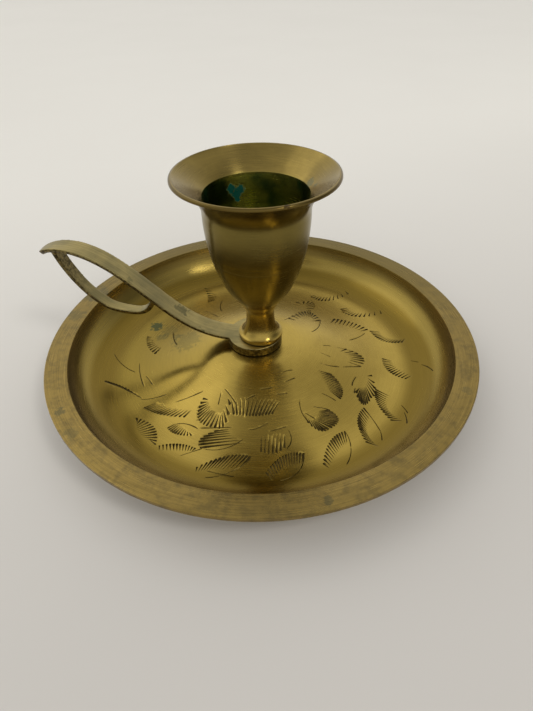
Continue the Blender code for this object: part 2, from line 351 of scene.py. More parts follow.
def stained(tree, place, colour, marks, stain):
    """Lay ragged spots of one colour over another; each is a centre, a radius and a strength."""
    for centre, size, share in marks:
        strength = maths(tree, "MULTIPLY", mark(tree, place, centre, size), share)
        colour = blend(tree, strength, colour, stain)
    return colour


print("stain helpers ready")

# %% Outline helpers
def bezier(start, start_handle, end_handle, end, count):
    """Points of one Bezier stretch in a plane, both ends included."""
    corners = [Vector((u, v, 0.0)) for u, v in (start, start_handle, end_handle, end)]
    return [(p.x, p.y) for p in interpolate_bezier(*corners, count)]


def turned(name, outline, steps, closed=False):
    """Turn an outline of (radius, height) points round the upright axis."""
    mesh = bpy.data.meshes.new(name + "_outline")
    points = [(radius, 0.0, height) for radius, height in outline]
    edges = [(i, i + 1) for i in range(len(points) - 1)]
    if closed:
        edges.append((len(points) - 1, 0))
    mesh.from_pydata(points, edges, [])
    obj = bpy.data.objects.new(name, mesh)
    bpy.context.scene.collection.objects.link(obj)
    screw = obj.modifiers.new("turn", "SCREW")
    screw.axis = "Z"
    screw.steps = steps
    screw.render_steps = steps
    screw.use_merge_vertices = True
    screw.merge_threshold = 0.01 * MM
    return obj


print("outline helpers ready")

# %% Helpers that finish a piece
def settle(obj, sharp=28.0):
    """Apply the modifiers, point the faces outwards and shade the piece smooth."""
    graph = bpy.context.evaluated_depsgraph_get()
    mesh = bpy.data.meshes.new_from_object(obj.evaluated_get(graph))
    obj.modifiers.clear()
    obj.data = mesh
    mesh.name = obj.name
    bm = bmesh.new()
    bm.from_mesh(mesh)
    bmesh.ops.recalc_face_normals(bm, faces=bm.faces)
    if bm.calc_volume(signed=True) < 0.0:
        bmesh.ops.reverse_faces(bm, faces=bm.faces)
    loose = sum(1 for edge in bm.edges if not edge.is_manifold)
    bm.to_mesh(mesh)
    bm.free()
    mesh.shade_smooth()
    mesh.set_sharp_from_angle(angle=math.radians(sharp))
    print(f"{obj.name}: {len(mesh.polygons)} faces, {loose} loose edges")
    return obj


def wear(obj, *materials):
    """Give a piece its materials."""
    for material in materials:
        obj.data.materials.append(material)


def boolean(obj, other, operation="DIFFERENCE", overlapping=False):
    """Cut another object out of this one, or join it on."""
    modifier = obj.modifiers.new(operation.lower(), "BOOLEAN")
    modifier.operation = operation
    modifier.solver = "EXACT"
    modifier.object = other
    modifier.use_self = overlapping


print("finishing helpers ready")

# %% [markdown]
# ## The drip tray
#
# The saucer was spun from sheet brass over a wooden form: a low cone in the middle, a ring that
# it stands on, a wall that sweeps up in a quarter round, and a flat brim. Only its upper face is
# drawn. The lower face is the same line moved down by the thickness of the sheet, as in the
# real metal, and both edges of the brim are eased.

# %% Outline of the tray
SHEET = 1.2 * MM
BRIM_WIDTH = 5.7 * MM
WALL_RUN = 10.6 * MM
LAND_WIDTH = 3.0 * MM
CENTRE_DROP = 2.9 * MM
SEAT_RADIUS = 10.1 * MM
SCREW_HOLE = 2.3 * MM
EDGE_EASE = 0.25 * MM
COVE_POINTS = 30
tray_radius = tray_high.x
brim_top = tray_high.z
seat_top = brim_top - CENTRE_DROP
tray_depth = brim_top - SHEET
land_outer = tray_radius - BRIM_WIDTH - WALL_RUN
land_inner = land_outer - LAND_WIDTH


def tray_upper_face():
    """From the screw hole over the cone, the standing ring and the wall to the brim."""
    rise = seat_top - SHEET
    run = land_inner - SEAT_RADIUS
    cone = bezier((SEAT_RADIUS, seat_top), (SEAT_RADIUS + 0.30 * run, seat_top - 0.14 * rise),
                  (land_inner - 0.34 * run, SHEET), (land_inner, SHEET), 40)
    cove_radius = (WALL_RUN ** 2 + tray_depth ** 2) / (2.0 * tray_depth)
    cove_angle = math.asin(WALL_RUN / cove_radius)
    angles = [cove_angle * i / COVE_POINTS for i in range(COVE_POINTS)]
    cove = [(land_outer + cove_radius * math.sin(angle),
             SHEET + cove_radius * (1.0 - math.cos(angle))) for angle in angles]
    corner = (tray_radius - BRIM_WIDTH, brim_top)
    inner_edge = bezier((corner[0] - 0.1 * EDGE_EASE, corner[1] - 1.4 * EDGE_EASE), corner, corner,
                        (corner[0] + EDGE_EASE, corner[1]), 5)
    return [(SCREW_HOLE, seat_top)] + cone + cove + inner_edge


def moved_down(outline, distance):
    """The same outline, moved square to itself by the thickness of the sheet."""
    moved = []
    for before, here, after in zip(outline[:1] + outline, outline, outline[1:] + outline[-1:]):
        one = Vector((here[0] - before[0], here[1] - before[1]))
        two = Vector((after[0] - here[0], after[1] - here[1]))
        one = one.normalized() if one.length else two.normalized()
        two = two.normalized() if two.length else one
        middle = (one + two).normalized()
        square = Vector((middle.y, -middle.x))
        stretch = distance / max(0.3, middle.dot(one))
        moved.append((here[0] + square.x * stretch, here[1] + square.y * stretch))
    return moved


print("tray is %.1f mm deep" % (tray_depth / MM))

# %% Turn the tray
upper = tray_upper_face()
edge = tray_radius - EDGE_EASE
rolled = bezier((edge, brim_top), (tray_radius, brim_top),
                (tray_radius, brim_top), (tray_radius, brim_top - EDGE_EASE), 5)
under_edge = [(tray_radius, brim_top - SHEET + EDGE_EASE), (edge, brim_top - SHEET)]
lower = moved_down(upper + [(edge, brim_top)], SHEET)[:-1]
tray = turned("tray_with_engraving", upper + rolled + under_edge + lower[::-1], 256, closed=True)
print("tray outline has", len(upper), "points on its upper face")

# %% [markdown]
# ## The engraving
#
# The leaves were cut by hand with a pointed graver. Each leaf has one edge of short strokes
# that start wide and deep and lift out to nothing, and a plain edge of long thin lines. The
# cuts are modelled as real grooves: every stroke is a slim wedge with its keel down, all the
# wedges make one mesh, and a Boolean takes that mesh out of the tray. A drawn texture would be
# quicker, but it would not catch the light on one flank and lose it on the other.
#
# A row of strokes is given by two curves. The fat ends lie on the first, and the strokes run
# towards the second and a little past it. Each curve is given by three points on the plan of the
# tray: its start, a point that it passes through, and its end. Places are in millimetres, x away
# from the handle, y to the back.

# %% One stroke of the graver
STROKE_WIDTH = 0.70
STROKE_DEPTH = 0.20
STROKE_REACH = 1.25
STROKE_STATIONS = (0.0, 0.12, 0.4, 0.75, 1.0)
UNEVEN_HAND = 0.18
LINE_WIDTH = 0.34
LINE_DEPTH = 0.12
LIFT = 0.12


def surface_height(x, y):
    """Height of the tray's upper face under a point of its plan, in millimetres."""
    distance = math.hypot(x, y) * MM
    for (r0, z0), (r1, z1) in zip(upper, upper[1:]):
        if r0 <= distance <= r1:
            return (z0 + (z1 - z0) * (distance - r0) / (r1 - r0)) / MM
    return seat_top / MM


def wedge(bm, path, shares, width, depth):
    """A keeled wedge along a path; shares give its size at each point."""
    rings = []
    for i, (x, y) in enumerate(path):
        ahead = path[min(i + 1, len(path) - 1)]
        behind = path[max(i - 1, 0)]
        along = Vector((ahead[0] - behind[0], ahead[1] - behind[1])).normalized()
        side = Vector((-along.y, along.x)) * (0.5 * width * (shares[i] + LIFT / depth))
        top = surface_height(x, y) + LIFT
        keel = surface_height(x, y) - depth * shares[i]
        rings.append([bm.verts.new(Vector(p) * MM) for p in (
            (x + side.x, y + side.y, top), (x - side.x, y - side.y, top), (x, y, keel))])
    for first, second in zip(rings, rings[1:]):
        for a, b in ((0, 1), (1, 2), (2, 0)):
            bm.faces.new((first[a], first[b], second[b], second[a]))
    bm.faces.new(rings[0][::-1])
    bm.faces.new(rings[-1])


def through(points, share):
    """A point of the curve that starts, passes and ends at three points."""
    (x0, y0), (x1, y1), (x2, y2) = points
    far = 1.0 - share
    middle_x = 2.0 * x1 - 0.5 * (x0 + x2)
    middle_y = 2.0 * y1 - 0.5 * (y0 + y2)
    return (far * far * x0 + 2.0 * far * share * middle_x + share * share * x2,
            far * far * y0 + 2.0 * far * share * middle_y + share * share * y2)


def between(start, end, share):
    """A point part of the way from one point to another."""
    return (start[0] + (end[0] - start[0]) * share, start[1] + (end[1] - start[1]) * share)


def comb(bm, fat_ends, thin_ends, count):
    """A row of strokes between two curves, a little uneven, as a hand cuts them."""
    for i in range(count):
        share = i / (count - 1)
        head = through(fat_ends, share)
        near = through(thin_ends, share)
        tail = between(head, near, STROKE_REACH)
        size = 1.0 - UNEVEN_HAND + UNEVEN_HAND * math.sin(7.0 * i + fat_ends[0][0])
        path = [between(head, tail, station) for station in STROKE_STATIONS]
        wedge(bm, path, (0.75 * size, size, 0.6 * size, 0.28, 0.0), STROKE_WIDTH, STROKE_DEPTH)


def thin_line(bm, points):
    """One long light cut that digs in a little at its end."""
    steps = 9
    path = [through(points, i / (steps - 1)) for i in range(steps)]
    shares = [0.0] + [0.55 + 0.45 * (i / (steps - 1)) ** 3 for i in range(1, steps - 1)] + [0.5]
    wedge(bm, path, shares, LINE_WIDTH, LINE_DEPTH)


print("a stroke is %.2f mm wide and %.2f mm deep" % (STROKE_WIDTH, STROKE_DEPTH))

# %% Where the strokes go
ROWS = [
    # front, from right to left: five leaves with their points towards the cup
    (((31.6, -9.8), (31.9, -14.5), (35.0, -20.0)), ((34.8, -11.4), (34.2, -15.8), (37.4, -20.1)), 14),
    (((28.4, -16.9), (26.9, -21.5), (28.7, -27.6)), ((30.0, -19.2), (28.8, -24.0), (31.2, -28.6)), 14),
    (((23.7, -25.0), (20.2, -28.6), (18.9, -35.0)), ((24.2, -28.0), (21.8, -31.2), (20.0, -36.1)), 14),
    (((14.2, -32.7), (9.4, -34.0), (6.0, -39.0)), ((14.0, -35.2), (10.2, -37.0), (7.4, -40.6)), 15),
    (((1.9, -35.0), (-3.6, -35.4), (-10.0, -39.2)), ((0.0, -38.0), (-5.6, -39.0), (-10.0, -40.4)), 14),
    # front: petals whose strokes fan in to the foot of the flower
    (((20.0, -20.0), (22.2, -22.2), (19.8, -25.3)), ((17.6, -20.6), (17.6, -22.3), (16.6, -23.6)), 11),
    (((19.8, -25.3), (17.6, -26.0), (14.8, -24.4)), ((16.6, -23.6), (16.0, -24.0), (14.0, -23.2)), 7),
    (((20.0, -8.8), (22.8, -12.0), (22.6, -15.6)), ((17.0, -8.6), (19.0, -11.6), (20.0, -14.2)), 12),
    (((26.6, -12.6), (28.5, -16.0), (30.6, -13.2)), ((27.3, -11.0), (28.4, -11.5), (29.4, -10.2)), 9),
    (((30.6, -13.2), (31.8, -10.5), (31.0, -5.0)), ((29.4, -10.2), (30.0, -8.0), (29.8, -5.5)), 6),
    (((4.2, -33.6), (7.0, -33.8), (9.6, -31.9)), ((3.8, -30.2), (6.6, -29.8), (9.3, -29.0)), 7),
    (((-3.8, -24.5), (1.0, -24.6), (5.6, -23.6)), ((-4.8, -21.2), (1.5, -20.8), (6.9, -20.6)), 13),
    (((-12.6, -20.3), (-12.6, -26.0), (-8.0, -28.2)), ((-11.3, -20.6), (-10.6, -23.6), (-7.5, -25.0)), 12),
    (((-8.0, -28.2), (-5.6, -27.4), (-5.2, -22.0)), ((-7.5, -25.0), (-6.5, -24.5), (-5.9, -20.5)), 6),
    (((-8.0, -29.2), (-11.0, -31.4), (-10.6, -33.8)), ((-5.0, -28.6), (-4.5, -30.2), (-2.0, -32.0)), 7),
    # left: leaves that run to the wall
    (((-20.0, -28.7), (-17.4, -30.3), (-13.4, -30.6)), ((-18.5, -27.6), (-16.4, -28.6), (-14.0, -29.8)), 10),
    (((-20.5, -34.0), (-16.0, -33.0), (-11.6, -33.9)), ((-20.2, -35.2), (-15.6, -34.8), (-12.2, -34.8)), 12),
    (((-28.8, -26.0), (-23.3, -28.6), (-21.4, -33.9)), ((-28.2, -27.3), (-26.4, -30.3), (-23.0, -32.8)), 12),
    (((-28.0, -22.6), (-23.5, -24.4), (-16.6, -25.4)), ((-25.5, -21.0), (-21.0, -22.8), (-15.4, -24.0)), 14),
    (((-41.5, -14.0), (-37.0, -15.0), (-31.0, -18.4)), ((-39.6, -14.8), (-35.6, -16.2), (-29.8, -19.0)), 12),
    (((-36.0, 6.2), (-34.6, 2.2), (-31.2, -2.0)), ((-34.6, 6.0), (-33.0, 2.8), (-30.2, 0.0)), 9),
    (((-24.2, 33.8), (-22.0, 29.0), (-21.2, 25.6)), ((-22.0, 33.8), (-20.0, 29.8), (-19.6, 26.8)), 8),
    # right and back
    (((34.0, 2.9), (35.5, -2.0), (39.8, -4.6)), ((36.2, 2.6), (37.5, -0.4), (41.4, -3.4)), 13),
    (((31.0, 15.4), (34.5, 11.2), (40.0, 11.0)), ((33.5, 15.6), (36.0, 12.6), (41.0, 12.4)), 14),
    (((22.0, 25.8), (26.0, 22.4), (34.8, 24.6)), ((24.4, 26.9), (27.2, 24.2), (34.5, 26.0)), 12),
    (((20.4, 18.6), (25.5, 18.8), (30.4, 16.2)), ((19.3, 15.5), (24.6, 16.2), (28.4, 14.6)), 10),
    (((6.5, 12.0), (11.5, 19.5), (16.0, 15.2)), ((8.4, 11.6), (12.0, 16.6), (14.0, 13.6)), 12),
    (((8.0, 26.6), (13.4, 27.6), (12.8, 20.6)), ((9.4, 25.4), (11.6, 25.0), (11.4, 20.6)), 8),
    (((12.2, 31.8), (17.0, 29.9), (24.5, 34.6)), ((13.4, 33.2), (17.6, 32.4), (23.6, 36.0)), 11),
    (((24.0, 3.2), (28.6, 1.6), (28.0, -2.4)), ((22.5, 1.6), (25.5, 0.6), (25.0, -2.2)), 8),
]
print(sum(count for _, _, count in ROWS), "strokes in", len(ROWS), "rows")

# %% Where the thin lines go
LINES = [
    # plain edges of the front leaves
    ((38.0, -14.5), (38.9, -16.0), (39.4, -17.6)), ((38.6, -17.0), (38.9, -19.2), (38.8, -21.4)),
    ((28.6, -17.0), (30.6, -20.2), (32.4, -24.0)), ((32.4, -24.0), (32.6, -25.5), (32.6, -27.0)),
    ((23.8, -25.0), (24.8, -27.3), (25.2, -29.6)), ((25.2, -29.6), (25.1, -32.3), (24.2, -35.0)),
    ((14.3, -32.7), (14.3, -35.0), (13.8, -37.3)), ((13.8, -37.3), (12.2, -39.4), (9.5, -41.0)),
    ((2.0, -35.5), (0.4, -37.8), (-2.0, -39.6)), ((-2.0, -39.6), (-4.6, -41.2), (-7.5, -42.0)),
    ((-8.0, -40.0), (-4.5, -40.6), (-1.0, -41.0)),
    # outlines and veins of the petals
    ((15.5, -19.8), (17.6, -19.6), (19.8, -19.7)), ((12.2, -18.5), (13.0, -22.0), (15.5, -24.6)),
    ((13.6, -21.8), (15.0, -22.4), (16.3, -23.0)), ((17.5, -15.4), (19.4, -15.8), (21.3, -16.6)),
    ((26.6, -7.0), (25.8, -8.8), (25.5, -10.5)), ((26.3, -11.0), (26.2, -11.9), (26.1, -12.8)),
    ((-7.5, -17.5), (-5.4, -19.6), (-3.5, -22.0)), ((-8.0, -18.5), (-8.1, -20.2), (-8.2, -22.0)),
    ((9.8, -26.8), (11.0, -29.4), (10.2, -32.0)), ((0.3, -28.2), (2.6, -27.6), (5.0, -25.9)),
    ((5.5, -28.0), (7.5, -27.3), (9.5, -26.3)), ((-1.5, -20.7), (-0.2, -19.8), (1.0, -19.2)),
    ((-3.5, -27.8), (-7.5, -28.2), (-11.5, -28.4)), ((-15.0, -36.7), (-12.4, -35.2), (-10.0, -34.0)),
    ((-10.0, -34.0), (-5.0, -33.7), (-0.6, -30.8)), ((-20.0, -20.9), (-16.5, -19.7), (-13.0, -18.2)),
    ((-18.4, -27.5), (-15.5, -27.3), (-12.2, -28.6)), ((-30.0, -19.6), (-27.0, -19.4), (-23.0, -18.2)),
    ((-43.5, -2.0), (-39.5, -6.5), (-34.5, -9.5)), ((-34.5, -5.5), (-33.0, -10.0), (-30.3, -15.0)),
    ((-31.0, -11.0), (-29.5, -12.6), (-28.0, -14.5)), ((-28.2, 8.0), (-26.6, 3.5), (-24.8, 0.5)),
    ((-16.4, 26.5), (-16.2, 21.5), (-14.6, 17.0)), ((-21.0, 19.0), (-18.0, 16.4), (-15.0, 13.0)),
    ((42.0, 3.0), (43.0, 2.6), (44.0, 2.0)), ((44.5, 1.0), (46.0, -0.8), (47.0, -3.0)),
    ((29.7, 14.4), (27.8, 11.2), (24.8, 8.0)), ((5.3, 10.2), (7.0, 12.6), (9.3, 16.0)),
    ((15.9, 15.0), (15.6, 10.4), (13.7, 6.5)), ((16.3, -5.7), (19.2, -5.8), (21.9, -5.1)),
    ((23.0, -4.7), (25.5, -3.6), (27.9, -2.6)), ((16.2, -1.8), (17.8, -2.0), (19.4, -2.3)),
    ((17.2, 1.4), (18.3, 2.0), (19.4, 2.3)), ((21.0, 2.5), (24.0, 3.0), (27.0, 2.8)),
    # short light cuts near the foot of the cup
    ((7.0, -11.8), (8.2, -11.0), (9.5, -10.5)), ((8.0, -14.4), (9.2, -13.6), (10.5, -12.7)),
    ((6.2, -18.2), (7.6, -17.9), (9.0, -17.4)), ((2.0, -17.4), (3.5, -17.1), (5.0, -16.6)),
]
print(len(LINES), "thin lines")

# %% Cut them all
def make_graver_cuts():
    """All the wedges as one object, whose faces carry the second material into the cuts."""
    bm = bmesh.new()
    for fat_ends, thin_ends, count in ROWS:
        comb(bm, fat_ends, thin_ends, count)
    for points in LINES:
        thin_line(bm, points)
    bmesh.ops.recalc_face_normals(bm, faces=bm.faces)
    for face in bm.faces:
        face.material_index = 1
    return as_object("graver_cuts", bm)


cuts = make_graver_cuts()
print("the cutter has", len(cuts.data.polygons), "faces")

# %% [markdown]
# ## Finish of the tray
#
# Inside, the floor is still gold from handling. On the handle's side it is darker: partly patina where a
# cloth can't reach, and partly painted shade that stands in for the handle's shadow and reflection. It is
# specked green round the flower there. The wall is browner, with a ring rubbed bright near its top and a
# brown line between that and the brim. The brim, which nobody polishes, has gone brown and stained. The
# material reads the radius to know which it is on. The grooves have a darker brass of their own, where old
# polish and dirt have stayed.

# %% Stains and colours of the tray
TRAY_MARKS = [
    # centre in mm, radius in mm, strength: green specks round the flower beside the handle
    ((-34.5, 11.5, 1.5), 2.0, 0.85),
    ((-31.0, 6.0, 2.0), 1.8, 0.35),
    ((-26.0, 5.0, 3.0), 1.5, 0.35),
    ((-22.0, 2.0, 5.0), 4.5, 0.30),
    ((-29.5, 9.0, 2.0), 3.0, 0.22),
]
BRIM_MARKS = [
    ((-52.5, 14.0, 10.6), 4.0, 0.55),
    ((-54.5, 3.0, 10.6), 2.6, 0.40),
    ((-43.0, -34.0, 10.6), 1.2, 0.60),
    ((-37.5, -40.0, 10.6), 1.6, 0.35),
    ((20.0, -51.0, 10.6), 0.9, 0.55),
    ((52.0, -17.0, 10.6), 1.4, 0.35),
]
FLOOR_GOLD = ((0.455, 0.325, 0.072), (0.37, 0.26, 0.056))
# darker brass on the handle's side: patina, and painted shade for the handle's shadow and reflection
PATINA_AND_PAINTED_SHADE_BY_HANDLE = (0.29, 0.205, 0.038)
GREEN_SPECK = (0.055, 0.075, 0.032)
WALL_BROWN = (0.20, 0.135, 0.024)
RUBBED_RING = (0.31, 0.225, 0.055)
RIM_LINE = (0.19, 0.135, 0.035)
BRIM_BROWN = ((0.285, 0.20, 0.060), (0.195, 0.142, 0.050))
BRIM_AT_THE_BACK = (0.165, 0.120, 0.030)
BRIM_STAIN = (0.10, 0.095, 0.05)
GROOVE_DIRT = ((0.085, 0.058, 0.014), (0.035, 0.025, 0.008))
print(len(TRAY_MARKS), "stains on the floor and", len(BRIM_MARKS), "on the brim")

# %% Brass of the tray
def tray_material():
    material, tree, shader = new_material("tray_brass")
    place, radius, height, bearing = round_the_axis(tree)
    lines = lathe_lines(tree, radius, height, bearing, 0.22 * MM, 5.0)
    cloud = noise(tree, place, 55.0, 4.0, 0.6)
    grain = noise(tree, place, 420.0, 4.0, 0.65)
    sides = node(tree, "SeparateXYZ", {0: place}).outputs
    colour = blend(tree, ramp(tree, cloud, 0.35, 0.7), *FLOOR_GOLD)
    # the half of the floor on the handle's side is darkened: part patina, part painted shade
    uneven_x = maths(tree, "MULTIPLY_ADD", cloud, 20.0 * MM, sides["X"])
    patina_and_painted_shade_by_handle = ramp(tree, uneven_x, 0.0, -30.0 * MM)
    colour = blend(tree, patina_and_painted_shade_by_handle, colour, PATINA_AND_PAINTED_SHADE_BY_HANDLE)
    colour = stained(tree, place, colour, TRAY_MARKS, GREEN_SPECK)
    on_wall = ramp(tree, radius, land_inner, land_outer + 2.0 * MM)
    colour = blend(tree, on_wall, colour, WALL_BROWN)
    rubbed_ring = ramp(tree, radius, tray_radius - 10.5 * MM, tray_radius - 8.5 * MM)
    colour = blend(tree, rubbed_ring, colour, RUBBED_RING)
    rim_line = ramp(tree, radius, tray_radius - 7.4 * MM, tray_radius - 6.4 * MM)
    colour = blend(tree, rim_line, colour, RIM_LINE)
    on_brim = ramp(tree, radius, tray_radius - BRIM_WIDTH - 0.2 * MM, tray_radius - BRIM_WIDTH)
    brim = blend(tree, ramp(tree, grain, 0.40, 0.72), *BRIM_BROWN)
    at_the_back = ramp(tree, sides["Y"], -10.0 * MM, 55.0 * MM)
    brim = blend(tree, at_the_back, brim, BRIM_AT_THE_BACK)
    brim = stained(tree, place, brim, BRIM_MARKS, BRIM_STAIN)
    colour = blend(tree, on_brim, colour, brim)
    contrast = maths(tree, "MULTIPLY_ADD", on_brim, 0.60, 0.36)
    shade = maths(tree, "MULTIPLY_ADD", maths(tree, "SUBTRACT", lines, 0.5), contrast, 1.0)
    colour = shaded(tree, colour, shade)
    finish_brass(tree, shader, colour, lines, cloud, 0.25, 0.003 * MM)
    return material


def groove_material():
    material, tree, shader = new_material("groove_brass")
    place = node(tree, "TexCoord").outputs["Object"]
    cloud = noise(tree, place, 900.0, 3.0)
    colour = blend(tree, ramp(tree, cloud, 0.3, 0.7), *GROOVE_DIRT)
    finish_brass(tree, shader, colour, cloud, cloud, 0.34, 0.01 * MM, turned=False)
    return material


wear(tray, tray_material(), groove_material())
wear(cuts, *tray.data.materials)
boolean(tray, cuts, overlapping=True)
settle(tray)
bpy.data.objects.remove(cuts)
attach(tray, "root")
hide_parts("drip_tray")

# %% [markdown]
# ## The candle cup
#
# The cup is a casting turned all over: a bowl like an egg with its top cut off, a thin flared
# lip, a narrow neck and a foot like a bell. One outline makes it, from the middle of the socket
# floor up the inside, over the lip and down to the foot. The turner scribed two fine lines round
# the bowl and a deeper one where it meets the neck, which are cut into the outline as notches.

# %% Outline of the cup
CUP_WALL = 0.8 * MM
LIP_EDGE = 0.6 * MM
FLARE_HEIGHT = 8.2 * MM
FLARE_DEPTH = 4.8 * MM
MOUTH_RADIUS = 12.2 * MM
BODY_RADIUS = 12.6 * MM
RING_RADIUS = 5.2 * MM
RING_HEIGHT = 11.2 * MM
NECK_RADIUS = 3.7 * MM
NECK_HEIGHT = 6.6 * MM
FOOT_RADIUS = 5.9 * MM
FOOT_EDGE = 0.8 * MM
SOCKET_RADIUS = 7.5 * MM
SCRIBED_LINES = [
    # height above the foot, half width, depth
    (26.2 * MM, 0.11 * MM, 0.045 * MM),
    (24.9 * MM, 0.09 * MM, 0.025 * MM),
    (RING_HEIGHT + 0.2 * MM, 0.22 * MM, 0.16 * MM),
]
cup_height = cup_high.z - cup_low.z
lip_radius = cup_high.x


def scribed(outline, height, width, depth):
    """Cut one small notch into a falling outline at a height."""
    cut = []
    for (r0, z0), (r1, z1) in zip(outline, outline[1:]):
        cut.append((r0, z0))
        if z0 > height >= z1:
            share = (z0 - height) / (z0 - z1)
            radius = r0 + (r1 - r0) * share
            slope = (r1 - r0) / (z1 - z0)
            cut += [(radius + slope * width, height + width), (radius - depth, height),
                    (radius - slope * width, height - width)]
    return cut + [outline[-1]]


def cup_outline():
    """From the middle of the socket floor, over the lip, down to the tapped hole."""
    shoulder = cup_height - FLARE_HEIGHT
    throat = cup_height - FLARE_DEPTH
    bowl_height = shoulder - RING_HEIGHT
    bowl = bezier((BODY_RADIUS, shoulder),
                  (BODY_RADIUS + 0.3 * MM, RING_HEIGHT + 0.464 * bowl_height),
                  (RING_RADIUS + 2.6 * MM, RING_HEIGHT + 0.088 * bowl_height),
                  (RING_RADIUS, RING_HEIGHT), 56)
    inside = [(r - CUP_WALL, z) for r, z in bowl if r - CUP_WALL > SOCKET_RADIUS]
    floor_height = inside[-1][1]
    flare = lip_radius - BODY_RADIUS
    rise = bezier((MOUTH_RADIUS, throat), (BODY_RADIUS + 0.25 * flare, throat + 0.42 * FLARE_DEPTH),
                  (lip_radius - 0.30 * flare, cup_height - 0.22 * FLARE_DEPTH),
                  (lip_radius - 1.25 * LIP_EDGE, cup_height - 0.12 * LIP_EDGE), 22)
    bevel = bezier((lip_radius - 1.15 * LIP_EDGE, cup_height), (lip_radius - 0.3 * LIP_EDGE, cup_height),
                   (lip_radius, cup_height - 0.25 * LIP_EDGE),
                   (lip_radius, cup_height - LIP_EDGE), 8)
    fall = bezier((lip_radius - 0.02 * LIP_EDGE, cup_height - 1.05 * LIP_EDGE),
                  (lip_radius - 0.48 * flare, cup_height - 0.26 * FLARE_HEIGHT),
                  (BODY_RADIUS + 0.03 * flare, cup_height - 0.58 * FLARE_HEIGHT),
                  (BODY_RADIUS, shoulder), 22)
    neck_run = RING_HEIGHT - NECK_HEIGHT
    neck = bezier((RING_RADIUS, RING_HEIGHT),
                  (0.45 * RING_RADIUS + 0.55 * NECK_RADIUS, RING_HEIGHT - 0.5 * neck_run),
                  (NECK_RADIUS, NECK_HEIGHT + 0.5 * neck_run), (NECK_RADIUS, NECK_HEIGHT), 16)
    bell = bezier((NECK_RADIUS, NECK_HEIGHT), (NECK_RADIUS, 0.30 * NECK_HEIGHT),
                  (FOOT_RADIUS - 0.7 * MM, FOOT_EDGE + 0.1 * MM), (FOOT_RADIUS, FOOT_EDGE), 24)
    outside = bowl + neck[1:]
    for height, width, depth in SCRIBED_LINES:
        outside = scribed(outside, height, width, depth)
    hole_top = screw_high.z - cup_low.z + 1.0 * MM
    return ([(0.0, floor_height), (SOCKET_RADIUS - 0.4 * MM, floor_height)] + inside[::-1] + rise + bevel
            + fall + outside[1:] + bell[1:]
            + [(FOOT_RADIUS, 0.0), (SCREW_HOLE, 0.0), (SCREW_HOLE, hole_top), (0.0, hole_top)])


cup = turned("turned_cup", [(r, z + cup_low.z) for r, z in cup_outline()], 192)
print("cup is %.1f mm high" % (cup_height / MM))

# %% [markdown]
# ## Finish of the cup
#
# The cup is darker than the tray: an olive brown skin, thin enough to show metal through it, and rubbed
# bright on the neck. Just under the lip the outside is much darker. Candles have left the socket a mottled
# green and gold, and a spot of verdigris has grown there, a blue-green crust that keeps its own matt colour,
# so it is not metal at all. Two knocks show dark on the lip and the flare.

# %% Stains, knocks and colours of the cup
VERDIGRIS = [
    # centre in mm, radius in mm, strength
    ((-7.6, 9.3, 47.2), 1.25, 1.0),
    ((-5.6, 10.6, 46.6), 1.25, 1.0),
    ((-6.5, 10.1, 45.6), 1.3, 1.0),
    ((-6.4, 10.1, 44.3), 0.8, 1.0),
    ((11.2, 4.9, 51.6), 1.5, 0.35),
    ((12.6, 2.6, 51.8), 0.8, 0.35),
]
NICKS = [
    # centre in mm, turn in radians, length in mm
    ((8.75, -16.9, 55.3), 0.48, 1.9),
    ((16.9, -4.9, 54.9), 1.1, 1.3),
]
CUP_OLIVE = ((0.29, 0.21, 0.058), (0.22, 0.16, 0.046))
BOWL_OLIVE = ((0.235, 0.178, 0.045), (0.165, 0.128, 0.036))
NECK_GOLD = (0.36, 0.255, 0.060)
UNDER_LIP = (0.10, 0.065, 0.018)
SOCKET_STAIN = ((0.07, 0.15, 0.05), (0.50, 0.48, 0.08))
NICK_DARK = (0.06, 0.04, 0.015)
CRUST_GREEN = ((0.002, 0.042, 0.036), (0.004, 0.105, 0.070))
print(len(VERDIGRIS), "spots of verdigris and", len(NICKS), "nicks")

